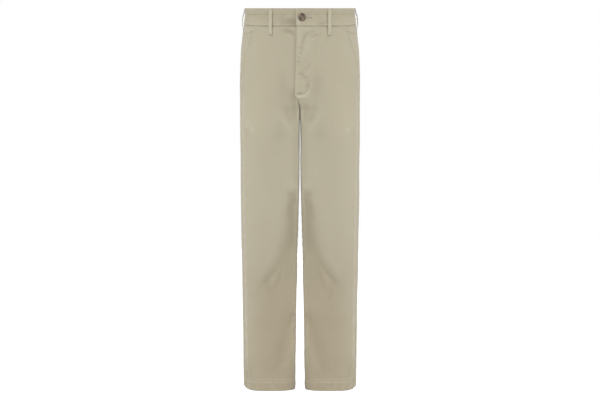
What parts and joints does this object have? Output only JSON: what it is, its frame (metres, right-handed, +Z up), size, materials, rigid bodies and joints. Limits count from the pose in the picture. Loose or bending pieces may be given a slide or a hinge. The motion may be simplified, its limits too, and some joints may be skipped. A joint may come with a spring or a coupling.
{
  "type": "chino trousers",
  "caption": "Straight flat-front chino trousers in sand-khaki twill, filled out and hollow, with belt loops, slant pockets and a button closing.",
  "frame": {"origin": "middle of the waist opening, level with the waistband, where the wearer holds the garment up", "axes": "+Z up, -Y out of the front, +X towards the wearer's left"},
  "size_m": [0.3238, 0.2388, 1.0357],
  "materials": {
    "khaki_twill": "matt cotton twill, soft and slightly faded at the seams",
    "dark_button": "mottled dark horn look, satin"
  },
  "bodies": {
    "root": {"front_left": "khaki_twill", "front_right": "khaki_twill", "back_left": "khaki_twill", "back_right": "khaki_twill", "pocket_facing_left": "khaki_twill", "pocket_facing_right": "khaki_twill", "waistband_left": "khaki_twill", "waistband_right": "khaki_twill", "loop_front_left": "khaki_twill", "loop_front_right": "khaki_twill", "loop_side_left": "khaki_twill", "loop_side_right": "khaki_twill", "loop_back": "khaki_twill", "button": "dark_button"}
  },
  "joints": []
}
